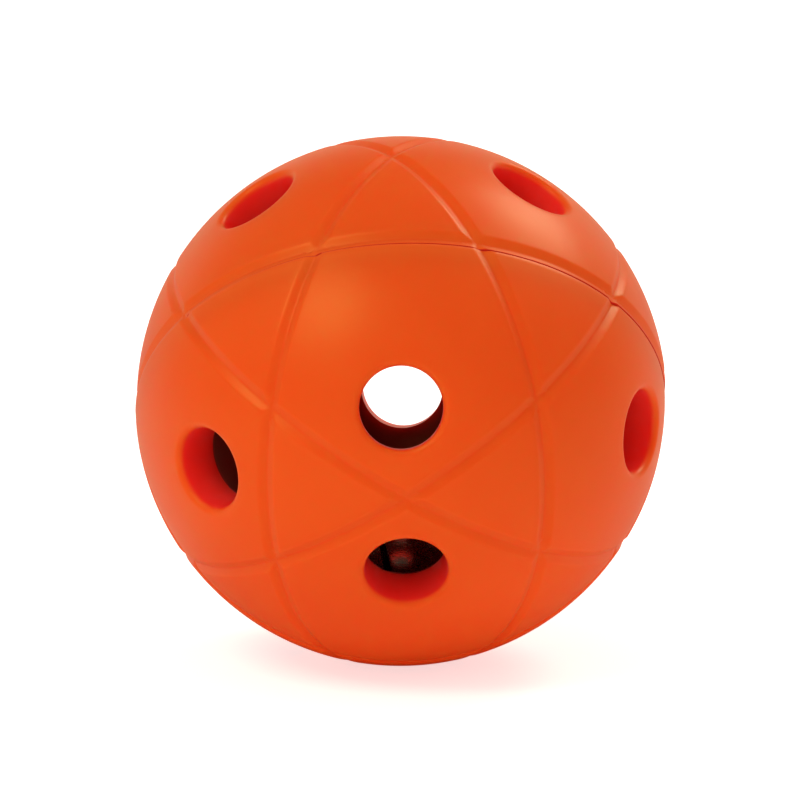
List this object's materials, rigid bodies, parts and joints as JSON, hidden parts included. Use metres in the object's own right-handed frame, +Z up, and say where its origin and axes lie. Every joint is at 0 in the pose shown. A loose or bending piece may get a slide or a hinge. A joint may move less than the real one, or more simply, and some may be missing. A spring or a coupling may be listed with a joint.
{
  "type": "bell ball",
  "caption": "Hollow soft vinyl ball with round holes through a thick wall, moulded grooves and loose jingle bells inside.",
  "frame": {"origin": "centre of the ball", "axes": "+Z up as the ball lies in the picture, -Y towards the viewer, +X to the viewer's right"},
  "size_m": [0.1596, 0.1598, 0.1596],
  "materials": {
    "orange_vinyl": "satin",
    "nickel_plate": "satin",
    "loop_wire": "satin",
    "pellet_steel": "satin"
  },
  "bodies": {
    "ball": {"upper_shell": "orange_vinyl", "lower_shell": "orange_vinyl"},
    "front_bell": {"front_bell_crown": "nickel_plate", "front_bell_skirt": "nickel_plate", "front_bell_loop": "loop_wire"},
    "back_bell": {"back_bell_crown": "nickel_plate", "back_bell_skirt": "nickel_plate", "back_bell_loop": "loop_wire"},
    "front_bell_pellet": {"front_bell_pellet": "pellet_steel"},
    "back_bell_pellet": {"back_bell_pellet": "pellet_steel"}
  },
  "joints": [
    {"name": "front_bell_roll", "type": "hinge", "parent": "ball", "child": "front_bell", "pos_m": [0, 0, 0], "axis": [0, 1, 0], "continuous": true},
    {"name": "back_bell_roll", "type": "hinge", "parent": "ball", "child": "back_bell", "pos_m": [0, 0, 0], "axis": [0, 1, 0], "continuous": true},
    {"name": "front_bell_pellet_roll", "type": "hinge", "parent": "front_bell", "child": "front_bell_pellet", "pos_m": [0, -0.0173, -0.04552], "axis": [0, 1, 0], "continuous": true},
    {"name": "back_bell_pellet_roll", "type": "hinge", "parent": "back_bell", "child": "back_bell_pellet", "pos_m": [0, 0.0173, -0.04552], "axis": [0, 1, 0], "continuous": true}
  ]
}
